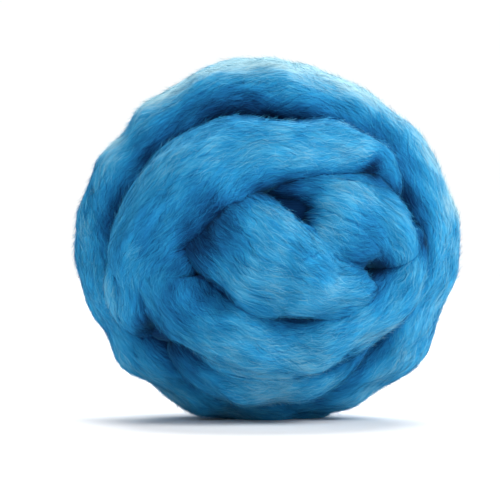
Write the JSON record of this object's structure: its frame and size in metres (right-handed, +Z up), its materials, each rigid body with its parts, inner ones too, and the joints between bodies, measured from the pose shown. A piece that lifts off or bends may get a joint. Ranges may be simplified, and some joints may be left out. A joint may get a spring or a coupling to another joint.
{
  "type": "wool roving ball",
  "caption": "Ball of thick, soft, unspun blue wool roving, wound loosely onto itself in broad overlapping turns, with a small flat spot to rest on.",
  "frame": {"origin": "middle of the flat spot that the ball rests on, under the middle of its box", "axes": "+Z up, -Y out of the front, where the turns lie round the tucked-in middle, +X to the right seen from the front"},
  "size_m": [0.1702, 0.1564, 0.16],
  "materials": {
    "wool": "combed unspun wool, soft and matt with a slight sheen along the fibres"
  },
  "bodies": {
    "root": {"wool_roving_ball": "wool"}
  },
  "joints": []
}
